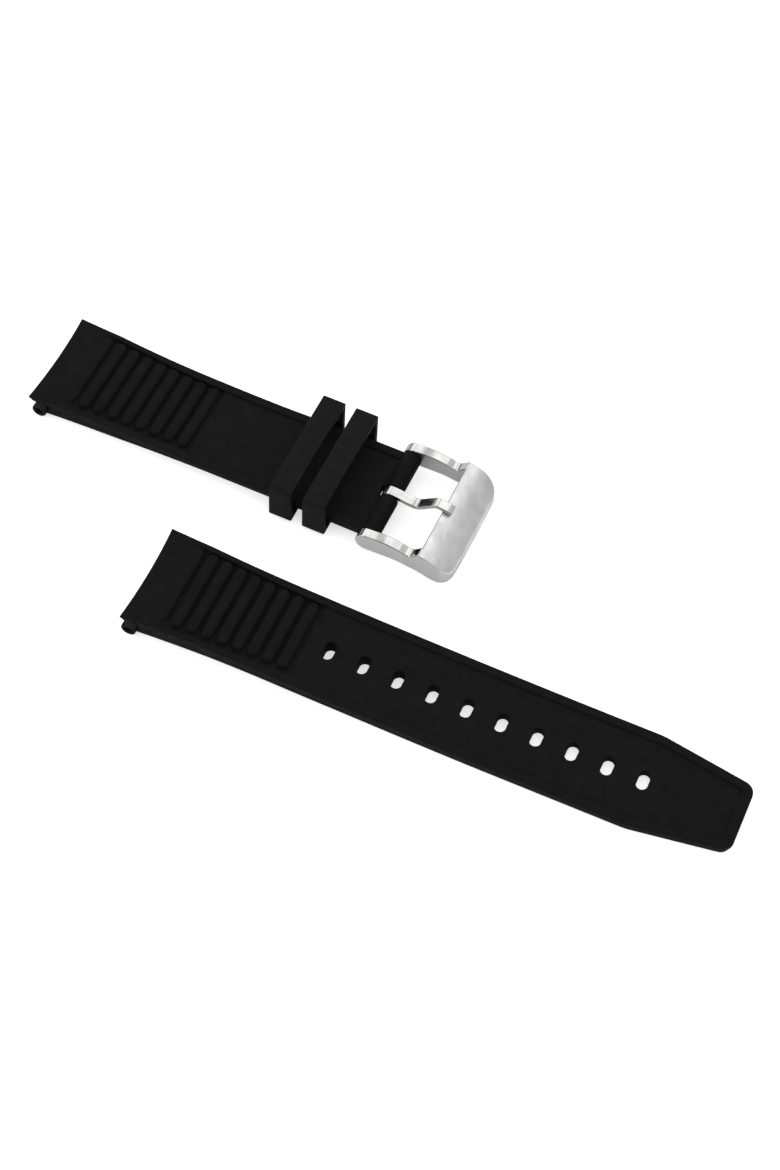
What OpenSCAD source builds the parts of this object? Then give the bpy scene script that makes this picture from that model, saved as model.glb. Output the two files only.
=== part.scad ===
// Rubber watch strap in two halves, with a tang buckle on its spring bar and two loose keepers.
// Millimetres, +Z up. The halves lie side by side along X, tops up, as on a table.
// The origin is on the table, under the middle of the whole layout.

/* [Strap outline] */
// Width at the case end, between the lugs
case_end_w = 22; // [18:0.5:26]
// Width of the parallel part, which is also the buckle's size
strap_w = 20.2; // [16:0.2:24]
// Length over which the sides sweep in from the case end
waist_l = 28; // [15:1:40]
// Depth of the hollow in the case end, seen from above
end_hollow = 0.5; // [0.2:0.1:1.5]
// Case end to tip, on the tail half
tail_l = 120.4; // [105:0.2:150]
// Length of the tail's taper
taper_l = 19; // [12:0.5:26]
// Width of the tail across its tip, before the corners are rounded
tip_w = 14.2; // [8:0.2:18]
// Corner radius of the tip
tip_r = 2.4; // [1:0.1:4]
// Radius of the shoulders where the taper starts
shoulder_r = 14; // [5:1:30]
// Case end to the buckle's bar, on the buckle half
buckle_half_l = 73.7; // [68:0.1:90]

/* [Strap thickness] */
// Height of the top face at the case end
plate_z = 5.4; // [4.8:0.1:6.5]
// Edge thickness of the top plate
plate_t = 1.1; // [0.8:0.1:1.4]
// How far the plate's end leans back under its top edge
visor_lean = 1; // [0.5:0.1:1.2]
// Where the top face starts to fall, from the case end
bend_x = 9; // [6:0.5:14]
// Thickness at the tail's tip
tail_t = 2.2; // [1.8:0.1:3]
// Thickness of the buckle half in its middle
band_t = 2.5; // [2:0.05:3]
// Thickness of the buckle half at its end roll
end_t = 2.75; // [2.3:0.05:3.2]
// Space under the ribbed ends, where the case boss holds them up
arch_z = 0.5; // [0.2:0.1:1]
// How much the buckle half rises again from its middle to its end roll
end_rise = 0.45; // [0:0.05:0.5]
// Length over which it rises
rise_l = 20; // [14:1:26]
// Length of the level stretch between that rise and the bar
level_l = 13.7; // [7:0.1:16]
// Where the underside of both halves starts to fall from its arch
arch_x = 14; // [10:0.5:18]
// Length over which the tail's underside falls to the table
rest_l = 26; // [20:1:34]
// Inset of the lower tier at the case end
tier_in = 1.2; // [0.6:0.1:2]
// Inset of the lower tier at the thin end
tier_out = 0.4; // [0.2:0.1:0.8]
// Where the lower tier starts to widen
tier_x = 25; // [15:1:35]
// Length over which it widens
tier_l = 50; // [30:1:60]

/* [Rim, ribs and holes] */
// Width of the raised rim along the thin part
rim_w = 1.75; // [1.2:0.05:2.5]
// Width of the rim where it starts, near the case end
rim_start_w = 1; // [0.6:0.1:1.6]
// Length over which the rim widens
rim_l = 34.6; // [20:0.2:50]
// Height of the rim above the panel
rim_step = 0.4; // [0.2:0.05:0.6]
// Start of the panel, from the case end
panel_x = 5.4; // [4:0.2:8]
// Number of ribs on each half
rib_count = 9; // [3:1:9]
// Distance from rib to rib
rib_pitch = 3.06; // [2.6:0.02:3.4]
// Middle of the first rib, from the case end
rib_x = 7; // [6.6:0.1:9]
// Radius of a rib's round back
rib_r = 1.15; // [0.8:0.05:1.2]
// Height of the ribs above the grooves between them
rib_h = 0.85; // [0.5:0.05:1]
// Clear space between a rib's end and the rim
rib_gap = 0.4; // [0.2:0.1:1]
// Number of adjustment holes
hole_count = 10; // [4:1:10]
// Distance from hole to hole
hole_pitch = 7; // [6:0.1:7.5]
// Middle of the first hole, from the tail's case end
hole_x = 38.1; // [37:0.1:42]
// Hole size along the strap
hole_w = 2.2; // [1.8:0.1:2.6]
// Hole size across the strap
hole_l = 4; // [3:0.1:5]

/* [Case ends] */
// Radius of the boss that holds a case spring bar
boss_r = 1.5; // [1.4:0.05:1.8]
// Radius of the hole for a case spring bar
case_bore_r = 0.8; // [0.7:0.05:0.9]
// How far the boss stops short of the plate's edge, each side
boss_in = 0.1; // [0.1:0.1:0.6]

/* [Keepers] */
// Outside width of a keeper, across the strap
keeper_w = 24.9; // [24.4:0.1:28]
// Outside height of a keeper
keeper_h = 9.2; // [8.8:0.1:11]
// Length of a keeper along the strap
keeper_l = 4.7; // [3:0.1:6]
// Wall of a keeper
keeper_t = 1.1; // [0.9:0.05:1.3]
// Outside corner radius of a keeper
keeper_r = 0.7; // [0.5:0.1:1.5]
// How far back from the bar the first keeper starts
keeper_back = 20.5; // [19:0.1:24]
// Space between the two keepers
keeper_gap = 2.4; // [1:0.1:3]
// Play under the strap inside a keeper, which hangs from it
keeper_play = 0.2; // [0.15:0.05:0.4]

/* [Buckle] */
// Side play between the strap and each arm of the buckle
arm_play = 0.15; // [0.1:0.05:0.3]
// Thickness of an arm
arm_t = 2.1; // [1.8:0.1:2.6]
// Radius of an arm's round end, about the bar
arm_r = 2.1; // [1.9:0.1:2.6]
// Bar to the inner edge of the front bar
window_l = 11.1; // [9:0.1:14]
// Depth of the front bar, inner edge to nose
front_l = 7; // [5:0.1:9]
// Corner radius of the front bar, seen from above
front_r = 3; // [1.5:0.1:4]
// Bulge of the front edge, seen from above
front_bulge = 0.6; // [0.2:0.1:1.5]
// Height of the front bar's inner edge above the bar
crest_z = 2.85; // [2.6:0.05:3.5]
// Height of the dip in the arms above the bar
dip_z = 1.3; // [1:0.05:1.8]
// Drop of the nose's underside below the bar
curl_z = 3.7; // [3.3:0.05:4.5]

/* [Tang] */
// Width of the tang
tang_w = 2.1; // [1.6:0.05:2.1]
// Thickness of the tang
tang_t = 0.9; // [0.7:0.05:1]
// Side play of the tang in its slot
tang_play = 0.3; // [0.2:0.05:0.5]
// Gap between the tang's tip and the front bar it rests on
tang_rest = 0.05; // [0.02:0.01:0.1]

/* [Spring bar] */
// Radius of the strap's end roll around the bar
roll_r = 1.9; // [1.7:0.05:2.1]
// Radius of the bar's tube
bar_r = 0.9; // [0.75:0.05:0.95]
// Wall of the bar's tube
bar_wall = 0.25; // [0.2:0.01:0.3]
// Radius of a pin at its free end
pin_r = 0.4; // [0.35:0.05:0.45]
// Running play around the bar, its pins and the tang's eye
run_play = 0.05; // [0.03:0.01:0.08]
// How deep a pin stands in its arm
pin_seat = 1.2; // [0.9:0.1:1.4]
// Length of the plunger behind each pin
plunger_l = 1.6; // [1.2:0.1:2]
// Length of the lip that keeps each plunger in the tube
lip_l = 0.3; // [0.2:0.05:0.4]
// How far the end roll hangs below the strap's underside
roll_drop = 0.1; // [0.05:0.05:0.5]
// How far the panel runs into the end roll
roll_lap = 0.3; // [0.2:0.1:0.4]
// How far the tube's ends stop short of the strap's sides
tube_in = 0.3; // [0.2:0.1:0.6]
// Radius of the spring's wire
wire_r = 0.11; // [0.08:0.01:0.14]
// Number of curls in the spring
curls = 14; // [8:1:16]

/* [Layout] */
// How far the tail half lies along X from the buckle half
tail_dx = 39.8; // [30:0.1:60]
// Distance between the centre lines of the two halves, at the tail's case end
tail_dy = 37.6; // [30:0.1:60]
// Angle between the two halves, seen from above
tail_turn = 0.9; // [0:0.1:4]

/* [Hidden] */
// Overshoot of a cut past the face it opens
cut = 1;
// Spacing of the points along a side that carries no rib or hole
step = 3.5;
// Height that clears every solid
tall = plate_z + keeper_h;

buckle_in_w = strap_w + 2 * arm_play;
buckle_w = buckle_in_w + 2 * arm_t;
buckle_l = arm_r + window_l + front_l;
bar_z = curl_z;
panel_end_x = buckle_half_l - roll_r + roll_lap;
tang_clear = roll_r + tang_play + 0.3;
end_under = bar_z - roll_r + roll_drop;
keeper_z = end_under - keeper_play - keeper_t;
keeper_x = buckle_half_l - keeper_back;
mid_under = end_under - end_rise;
rise_x = buckle_half_l - level_l - rise_l;
bar_half = strap_w / 2 - tube_in;
pin_tip = buckle_in_w / 2 + pin_seat;
plunger_r = bar_r - bar_wall - run_play;
tang_eye_r = bar_r + run_play;
rib_zone = rib_x + (rib_count - 1) * rib_pitch + rib_r;

// Curves shared by the strap's faces
function ease(t) = let (s = max(0, min(1, t))) s * s * (3 - 2 * s);
function blend(x, from, to, a, b) = a + (b - a) * ease((x - from) / (to - from));
function half_w(x) = strap_w / 2
    + (case_end_w - strap_w) / 2 * pow(max(0, 1 - x / waist_l), 2);

// Places along a half where its curves have a point: between the ribs and between the
// holes, so that no rib or hole has such a line close beside its edge
function groove(i) = rib_x + (i - 0.5) * rib_pitch;
ramp_end = groove(rib_count) + 1.1;
rib_marks = concat([rib_x / 2], [for (i = [1:rib_count]) groove(i)], [ramp_end]);
band_marks = concat(rib_marks, [for (x = [ramp_end + step:step:buckle_half_l]) x]);
tail_marks = concat(rib_marks, [for (i = [0:hole_count]) hole_x + (i - 0.5) * hole_pitch]);
function stations(from, to, marks) = concat(
    [from],
    [for (x = marks) if (x > from + 0.5 && x < to - 0.5) x],
    [to]
);

// The top face is level over the case end, then falls along a parabola
function fall(x, end_z, run) = end_z
    + (plate_z - end_z) * pow(1 - max(0, min(1, (x - bend_x) / run)), 2);
function tail_under(x) = blend(x, arch_x, arch_x + rest_l, arch_z, 0);
function tail_top(x) = fall(x, tail_t, tail_l - taper_l + 3 - bend_x);
function band_under(x) = blend(x, arch_x, rise_x + 4, arch_z, mid_under)
    + blend(x, rise_x, rise_x + rise_l, 0, end_rise);
function band_top(x) = fall(x, mid_under + band_t, rise_x + 4 - bend_x)
    + blend(x, rise_x + 4, rise_x + rise_l + 6, 0, end_rise + end_t - band_t);

// Depth of the panel under the rim: shallow at its start, deep between the ribs
function panel_depth(x) = min(
    blend(x, panel_x, panel_x + 4, 0.05, rib_h),
    blend(x, rib_zone, ramp_end, rib_h, rim_step)
);
function rim_at(x) = blend(x, panel_x, panel_x + rim_l, rim_start_w, rim_w);
function tier_at(x) = blend(x, tier_x, tier_x + tier_l, tier_in, tier_out);

// Points of an arc that rounds the corner b between the sides a-b and b-c
function unit(v) = v / norm(v);
function rounded(a, b, c, r, n = 6) = let (
    u = unit(a - b),
    v = unit(c - b),
    half = acos(u * v) / 2,
    centre = b + unit(u + v) * r / sin(half),
    from = b + u * r / tan(half),
    to = b + v * r / tan(half),
    a0 = atan2(from[1] - centre[1], from[0] - centre[0]),
    turn = atan2(to[1] - centre[1], to[0] - centre[0]) - a0,
    sweep = turn > 180 ? turn - 360 : turn < -180 ? turn + 360 : turn
) [for (i = [0:n]) centre + r * [cos(a0 + sweep * i / n), sin(a0 + sweep * i / n)]];

// A smooth line through a few points
function spline(p, n = 4) = concat(
    [for (i = [0:len(p) - 2], k = [0:n - 1]) let (
        t = k / n,
        a = p[max(0, i - 1)],
        b = p[i],
        c = p[i + 1],
        d = p[min(len(p) - 1, i + 2)]
    ) 0.5 * (2 * b + (c - a) * t + (2 * a - 5 * b + 4 * c - d) * t * t
        + (3 * b - a - 3 * c + d) * t * t * t)],
    [p[len(p) - 1]]
);
function flip(p) = [for (i = [len(p) - 1:-1:0]) [p[i][0], -p[i][1]]];

// Inset of an outline from the strap's side: "none", "rim" or "tier"
function inset(x, kind) = kind == "tier" ? tier_at(x) : kind == "rim" ? rim_at(x) : 0;

// One side of the tail's outline, from the given place to the tip
function tail_side(from, kind, tip_inset) = let (
    xs = stations(from, tail_l - taper_l - 4, tail_marks),
    shoulder = [tail_l - taper_l, strap_w / 2 - inset(tail_l - taper_l, kind)],
    corner = [tail_l - tip_inset, tip_w / 2 - tip_inset * 0.75]
) concat(
    [for (x = xs) [x, half_w(x) - inset(x, kind)]],
    rounded([xs[len(xs) - 1], shoulder[1]], shoulder, corner, shoulder_r),
    rounded(shoulder, corner, [corner[0], 0], max(0.6, tip_r - tip_inset * 0.9))
);

// The layout's middle, measured from the buckle half's case end
function turned(p) = [
    p[0] * cos(tail_turn) - p[1] * sin(tail_turn),
    p[0] * sin(tail_turn) + p[1] * cos(tail_turn)
];
tail_flat = [for (p = tail_side(0, "none", 0), s = [-1, 1]) turned([p[0], s * p[1]])];
end_x = max(tail_dx + max([for (p = tail_flat) p[0]]), buckle_half_l + window_l + front_l);
top_y = max(buckle_w, keeper_w, case_end_w) / 2;
low_y = min([for (p = tail_flat) p[1]]) - tail_dy;
mid_x = end_x / 2;
mid_y = (top_y + low_y) / 2;
echo(mid = [mid_x, mid_y], end_x = end_x, low_y = low_y, end_under = end_under);

module mirrored_outline(side) {
    polygon(concat(side, flip(side)));
}

// A side view, drawn in X and Z, carried across the strap
module across(w) {
    rotate([90, 0, 0]) linear_extrude(height = w, center = true) children();
}

module tail_plan(from, kind, tip_inset) {
    linear_extrude(height = tall) mirrored_outline(tail_side(from, kind, tip_inset));
}

module band_plan(from, to, kind) {
    linear_extrude(height = tall) mirrored_outline([for (x = stations(from, to, band_marks))
        [x, half_w(x) - inset(x, kind)]]);
}

// The boss under the case end: a round barrel for the spring bar, hung from the plate
module case_boss() {
    across(case_end_w - 2 * boss_in) {
        translate([boss_r, boss_r]) circle(r = boss_r, $fn = 64);
        polygon([
            [visor_lean, plate_z - plate_t / 2],
            [visor_lean, boss_r + 0.8],
            [boss_r, boss_r],
            [2 * boss_r - 0.1, boss_r + 0.3],
            [2 * boss_r + 0.4, plate_z - plate_t],
            [2 * boss_r + 0.4, plate_z - plate_t / 2]
        ]);
    }
}

module case_bore() {
    translate([boss_r, 0, boss_r]) rotate([90, 0, 0])
        cylinder(r = case_bore_r, h = case_end_w + 2 * cut, center = true, $fn = 48);
}

// The hollow that lets the plate's end sit against a round case
module end_scoop() {
    r = (case_end_w * case_end_w / 4 + end_hollow * end_hollow) / (2 * end_hollow);
    translate([end_hollow - r, 0, plate_z - plate_t - 0.01])
        cylinder(r = r, h = tall, $fn = 720);
}

// Half of a rib's section, from its crest down to its root in the panel
rib_half = [
    [0, 0],
    [rib_r * 0.45, 0],
    [rib_r * 0.8, -rib_h * 0.25],
    [rib_r, -rib_h * 0.7],
    [rib_r, -rib_h - 0.3],
    [0, -rib_h - 0.3]
];

// A rib: this section drawn across the strap, and turned at both ends
module rib(x, top) {
    reach = half_w(x) - rim_at(x) - rib_gap - rib_r;
    mirrored = [for (i = [len(rib_half) - 2:-1:1]) [-rib_half[i][0], rib_half[i][1]]];
    translate([x, 0, top]) {
        across(2 * reach) polygon(concat(rib_half, mirrored));
        for (s = [-1, 1]) translate([0, s * reach, 0]) rotate_extrude($fn = 32) polygon(rib_half);
    }
}

module long_hole(x) {
    for (s = [-1, 1]) translate([x, s * (hole_l - hole_w) / 2, -cut])
        cylinder(d = hole_w, h = tall, $fn = 40);
    translate([x - hole_w / 2, (hole_w - hole_l) / 2, -cut])
        cube([hole_w, hole_l - hole_w, tall]);
}

module place_band() {
    translate([-mid_x, -mid_y, 0]) children();
}

module place_tail() {
    translate([tail_dx - mid_x, -tail_dy - mid_y, 0]) rotate(tail_turn) children();
}

// The bar's own place: its axis along Y, with X towards the front bar
module place_bar() {
    place_band() translate([buckle_half_l, 0, bar_z]) children();
}

module buckle_strap() {
    bar_x = buckle_half_l;
    xs = stations(0, bar_x, band_marks);
    lower = stations(boss_r, bar_x, band_marks);
    panel = stations(panel_x, panel_end_x, band_marks);
    color("#1c1c1d") place_band() difference() {
        union() {
            difference() {
                union() {
                    intersection() {
                        band_plan(0, bar_x, "none");
                        across(case_end_w + cut) polygon(concat(
                            [for (x = xs) [x, band_top(x)]],
                            [for (i = [len(xs) - 1:-1:1]) [xs[i], band_top(xs[i]) - plate_t]],
                            [[visor_lean, plate_z - plate_t], [0, plate_z - 0.25]]
                        ));
                    }
                    intersection() {
                        band_plan(boss_r, bar_x, "tier");
                        across(case_end_w + cut) polygon(concat(
                            [for (x = lower) [x, band_top(x) - plate_t / 2]],
                            [for (i = [len(lower) - 1:-1:0]) [lower[i], band_under(lower[i])]]
                        ));
                    }
                }
                intersection() {
                    band_plan(panel_x, panel_end_x, "rim");
                    across(case_end_w + cut) polygon(concat(
                        [for (x = panel) [x, band_top(x) - panel_depth(x)]],
                        [[panel_end_x, tall], [panel_x, tall]]
                    ));
                }
                end_scoop();
            }
            case_boss();
            for (i = [0:rib_count - 1]) rib(rib_x + i * rib_pitch, band_top(rib_x + i * rib_pitch));
            translate([bar_x, 0, bar_z]) rotate([90, 0, 0])
                cylinder(r = roll_r, h = strap_w, center = true, $fn = 64);
        }
        case_bore();
        translate([bar_x, 0, bar_z]) rotate([90, 0, 0])
            cylinder(r = bar_r + run_play, h = strap_w + 2 * cut, center = true, $fn = 48);
        translate([bar_x - tang_clear, -tang_w / 2 - tang_play, -cut])
            cube([tang_clear + roll_r + cut, tang_w + 2 * tang_play, tall]);
    }
}

module tail_strap() {
    xs = stations(0, tail_l, tail_marks);
    lower = stations(boss_r, tail_l, tail_marks);
    panel = stations(panel_x, tail_l, tail_marks);
    color("#1c1c1d") place_tail() difference() {
        union() {
            difference() {
                union() {
                    intersection() {
                        tail_plan(0, "none", 0);
                        across(case_end_w + cut) polygon(concat(
                            [for (x = xs) [x, tail_top(x)]],
                            [for (i = [len(xs) - 1:-1:1]) [xs[i], tail_top(xs[i]) - plate_t]],
                            [[visor_lean, plate_z - plate_t], [0, plate_z - 0.25]]
                        ));
                    }
                    intersection() {
                        tail_plan(boss_r, "tier", tier_out);
                        across(case_end_w + cut) polygon(concat(
                            [for (x = lower) [x, tail_top(x) - plate_t / 2]],
                            [for (i = [len(lower) - 1:-1:0]) [lower[i], tail_under(lower[i])]]
                        ));
                    }
                }
                intersection() {
                    tail_plan(panel_x, "rim", rim_w + 0.3);
                    across(case_end_w + cut) polygon(concat(
                        [for (x = panel) [x, tail_top(x) - panel_depth(x)]],
                        [[tail_l, tall], [panel_x, tall]]
                    ));
                }
                end_scoop();
            }
            case_boss();
            for (i = [0:rib_count - 1]) rib(rib_x + i * rib_pitch, tail_top(rib_x + i * rib_pitch));
        }
        case_bore();
        for (i = [0:hole_count - 1]) long_hole(hole_x + i * hole_pitch);
    }
}

// A rectangle with round corners, made of true arcs
module round_rect(w, h, r) {
    for (x = [-1, 1], y = [-1, 1]) translate([x * (w / 2 - r), y * (h / 2 - r)])
        circle(r = r, $fn = 48);
    square([w - 2 * r, h], center = true);
    square([w, h - 2 * r], center = true);
}

module keeper(x) {
    color("#222223") place_band() translate([x, 0, keeper_z + keeper_h / 2]) rotate([90, 0, 90])
        linear_extrude(height = keeper_l) difference() {
            round_rect(keeper_w, keeper_h, keeper_r);
            round_rect(keeper_w - 2 * keeper_t, keeper_h - 2 * keeper_t,
                max(0.3, keeper_r - keeper_t * 0.6));
        }
}

module first_keeper() {
    keeper(keeper_x);
}

module second_keeper() {
    keeper(keeper_x + keeper_l + keeper_gap);
}

// Side view of the buckle about its bar: X towards the nose, Y up
nose_x = window_l + front_l;
arm_top = spline([
    [0, arm_r],
    [2.2, arm_r + 0.2],
    [window_l * 0.41, arm_r + 0.15],
    [window_l * 0.62, arm_r - 0.25],
    [window_l * 0.78, dip_z],
    [window_l * 0.87, dip_z + 0.25],
    [window_l - 0.1, crest_z]
]);
front_top = spline([
    [window_l + 0.1, crest_z],
    [window_l + front_l * 0.37, crest_z - 0.9],
    [window_l + front_l * 0.64, crest_z - 2.25],
    [nose_x - 0.5, crest_z - 4.1],
    [nose_x, crest_z - 5.1]
]);
under = spline([
    [nose_x - 0.35, -curl_z + 0.45],
    [nose_x - 1.3, -curl_z],
    [window_l + front_l * 0.4, -curl_z + 0.25],
    [window_l + 0.5, -curl_z + 1],
    [window_l * 0.8, -arm_r - 0.15],
    [window_l * 0.55, -arm_r + 0.2],
    [0, -arm_r]
]);

module buckle_side() {
    across(buckle_w + cut) circle(r = arm_r, $fn = 64);
    across(buckle_w + cut) polygon(concat(arm_top, front_top, under));
}

// Plan of the frame: square at the bar, round and slightly bulged at the nose, where the
// corner arcs run smoothly into the bulge
module buckle_plan() {
    bulge_r = (pow(buckle_w / 2, 2) + front_bulge * front_bulge) / (2 * front_bulge);
    corner_y = buckle_w / 2 - front_r;
    corner_x = nose_x - bulge_r + sqrt(pow(bulge_r - front_r, 2) - corner_y * corner_y);
    meet_y = corner_y * bulge_r / (bulge_r - front_r);
    intersection() {
        union() {
            translate([-arm_r - cut, -buckle_w / 2]) square([corner_x + arm_r + cut, buckle_w]);
            translate([corner_x - cut, -meet_y]) square([front_r + 2 * cut, 2 * meet_y]);
            for (s = [-1, 1]) translate([corner_x, s * corner_y]) circle(r = front_r, $fn = 64);
        }
        translate([nose_x - bulge_r, 0]) circle(r = bulge_r, $fn = 360);
    }
}

module buckle_frame() {
    color("#c9cbcd") place_bar() difference() {
        intersection() {
            buckle_side();
            translate([0, 0, -tall]) linear_extrude(height = 2 * tall) buckle_plan();
        }
        translate([-arm_r - cut, -buckle_in_w / 2, -tall])
            cube([arm_r + cut + window_l, buckle_in_w, 2 * tall]);
        rotate([90, 0, 0]) cylinder(r = pin_r + run_play, h = 2 * (pin_tip + 0.2),
            center = true, $fn = 32);
    }
}

// Middle line of the tang's blade: off its eye, down into the window, up over the front bar
tang_mid = tang_eye_r + tang_t / 2;
tang_top_z = crest_z + tang_rest + tang_t / 2;
tang_line = spline([
    [0, tang_mid],
    [window_l * 0.14, tang_mid - 0.15],
    [window_l * 0.38, tang_mid - 0.65],
    [window_l * 0.54, tang_mid - 0.5],
    [window_l * 0.72, tang_top_z - 0.95],
    [window_l * 0.86, tang_top_z + 0.15],
    [window_l * 0.98, tang_top_z + 0.12],
    [window_l + front_l * 0.14, tang_top_z - 0.12],
    [window_l + front_l * 0.28, tang_top_z - 0.5]
], 5);

// The line's two sides, each half a thickness off it
function side_of(p, d) = [for (i = [0:len(p) - 1]) let (
    a = p[max(0, i - 1)],
    b = p[min(len(p) - 1, i + 1)],
    n = unit([a[1] - b[1], b[0] - a[0]])
) p[i] + n * d];

module buckle_tang() {
    upper = side_of(tang_line, tang_t / 2);
    lower = side_of(tang_line, -tang_t / 2);
    color("#d8dadc") place_bar() difference() {
        union() {
            across(tang_w) circle(r = tang_eye_r + tang_t, $fn = 64);
            across(tang_w) polygon(concat(upper, [for (i = [len(lower) - 1:-1:0]) lower[i]]));
        }
        across(tang_w + cut) circle(r = tang_eye_r, $fn = 64);
    }
}

// The bar's tube, with a lip turned in at each end to keep the plungers
module bar_tube() {
    lip_r = pin_r + run_play;
    color("#b5b7ba") place_bar() rotate([90, 0, 0]) rotate_extrude($fn = 48) polygon([
        [bar_r, -bar_half],
        [bar_r, bar_half],
        [lip_r, bar_half],
        [lip_r, bar_half - lip_l],
        [bar_r - bar_wall, bar_half - lip_l],
        [bar_r - bar_wall, lip_l - bar_half],
        [lip_r, lip_l - bar_half],
        [lip_r, -bar_half]
    ]);
}

// A pin and the plunger behind it, turned as one piece
module pin() {
    rotate([90, 0, 0]) rotate_extrude($fn = 40) polygon([
        [0, -pin_tip],
        [pin_r - 0.1, -pin_tip],
        [pin_r, -pin_tip + 0.1],
        [pin_r, -bar_half + lip_l + run_play],
        [plunger_r, -bar_half + lip_l + run_play],
        [plunger_r, -bar_half + lip_l + run_play + plunger_l],
        [0, -bar_half + lip_l + run_play + plunger_l]
    ]);
}

module far_pin() {
    color("#d0d2d4") place_bar() pin();
}

module near_pin() {
    color("#d0d2d4") place_bar() mirror([0, 1, 0]) pin();
}

// The spring: one wire wound along the tube between the two plungers
spring_half = bar_half - lip_l - run_play - plunger_l - wire_r - run_play;
coil_r = bar_r - bar_wall - wire_r - run_play;
coil_sides = 6;
coil_rings = 8;
function coil_at(i) = let (a = 360 * i / coil_rings, t = i / (curls * coil_rings))
    [coil_r * cos(a), coil_r * sin(a), spring_half * (2 * t - 1)];
function coil_ring(i) = let (a = 360 * i / coil_rings) [for (k = [0:coil_sides - 1])
    let (b = 360 * k / coil_sides) coil_at(i)
        + wire_r * [cos(b) * cos(a), cos(b) * sin(a), sin(b)]];
// Least gap between one curl and the next
coil_gap = 2 * spring_half / curls - 2 * wire_r;
echo(coil_gap = coil_gap);

module bar_spring() {
    n = curls * coil_rings;
    points = [for (i = [0:n], p = coil_ring(i)) p];
    sides = [for (i = [0:n - 1], k = [0:coil_sides - 1]) let (
        a = i * coil_sides + k,
        b = i * coil_sides + (k + 1) % coil_sides
    ) each [[a, b, b + coil_sides], [a, b + coil_sides, a + coil_sides]]];
    first = [for (k = [1:coil_sides - 2]) [0, k + 1, k]];
    end = n * coil_sides;
    last = [for (k = [1:coil_sides - 2]) [end, end + k, end + k + 1]];
    color("#a8abae") place_bar() rotate([90, 0, 0])
        polyhedron(points, concat(sides, first, last));
}

buckle_strap();
tail_strap();
first_keeper();
second_keeper();
buckle_frame();
buckle_tang();
bar_tube();
bar_spring();
near_pin();
far_pin();
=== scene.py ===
import bmesh
import bpy
import math
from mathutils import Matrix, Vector


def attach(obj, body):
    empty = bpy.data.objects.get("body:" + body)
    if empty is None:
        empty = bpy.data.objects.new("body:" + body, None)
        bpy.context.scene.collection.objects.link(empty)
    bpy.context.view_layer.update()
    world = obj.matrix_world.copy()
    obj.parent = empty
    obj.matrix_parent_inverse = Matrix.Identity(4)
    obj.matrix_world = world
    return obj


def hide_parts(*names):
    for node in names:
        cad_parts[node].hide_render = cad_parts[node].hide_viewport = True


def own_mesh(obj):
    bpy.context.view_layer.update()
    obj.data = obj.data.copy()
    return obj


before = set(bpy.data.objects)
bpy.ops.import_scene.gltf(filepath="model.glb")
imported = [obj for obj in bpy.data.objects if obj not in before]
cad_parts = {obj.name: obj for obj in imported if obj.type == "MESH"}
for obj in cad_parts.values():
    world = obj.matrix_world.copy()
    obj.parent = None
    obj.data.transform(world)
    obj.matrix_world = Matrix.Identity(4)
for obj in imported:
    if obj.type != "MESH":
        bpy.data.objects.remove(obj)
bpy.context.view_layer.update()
scene = bpy.context.scene

# The table and the room. The strap lies open on a plain pale table under soft studio lamps,
# in a white surround that bare steel mirrors. The camera looks down on it from the buckle's side.
camera = bpy.data.objects.new("camera", bpy.data.cameras.new("camera"))
scene.collection.objects.link(camera)
camera.location = (0.09245, -0.23518, 0.38900)
camera.rotation_euler = (math.radians(33.0275), math.radians(-2.2855), math.radians(24.6293))
camera.data.sensor_fit = "VERTICAL"
camera.data.sensor_height = 36
camera.data.lens = 74.45
camera.data.clip_start = 0.01
camera.data.clip_end = 20
scene.camera = camera
scene.view_settings.view_transform = "Standard"


def hang_lamp(name, place, size, watts):
    """A soft rectangular lamp that faces the middle of the layout."""
    light = bpy.data.lights.new(name, "AREA")
    light.shape = "RECTANGLE"
    light.size, light.size_y = size
    light.energy = watts
    lamp = bpy.data.objects.new(name, light)
    scene.collection.objects.link(lamp)
    lamp.location = place
    lamp.rotation_euler = (-Vector(place)).to_track_quat("-Z", "Y").to_euler()


hang_lamp("lamp_left", (-0.62, 0.66, 0.8), (0.38, 0.7), watts=0.78)
hang_lamp("lamp_right", (0.08, 0.66, 1.02), (0.5, 0.72), watts=0.98)
hang_lamp("lamp_front", (-0.72, -0.78, 0.36), (0.7, 0.6), watts=3.2)


def wire(tree, source, sink):
    tree.links.new(source, sink)


def add(tree, kind, **values):
    """A shader node with the given settings and socket values."""
    node = tree.nodes.new("ShaderNode" + kind)
    for key, value in values.items():
        if hasattr(node, key):
            setattr(node, key, value)
        else:
            node.inputs[key.replace("_", " ")].default_value = value
    return node


world = bpy.data.worlds.new("studio")
scene.world = world
world.use_nodes = True
room = world.node_tree
room.nodes.clear()
seen_white = add(room, "Background", Color=(1, 1, 1, 1), Strength=1.0)
room_glow = add(room, "Background", Color=(1, 1, 1, 1), Strength=0.96)
mirrored = add(room, "Background", Strength=1.0)


def map_range(tree, limits, results, **kind):
    """A node that carries the range between two limits over to the range between two results."""
    node = add(tree, "MapRange", **kind)
    for socket, value in zip(("From Min", "From Max", "To Min", "To Max"), (*limits, *results)):
        node.inputs[socket].default_value = value
    return node


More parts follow.
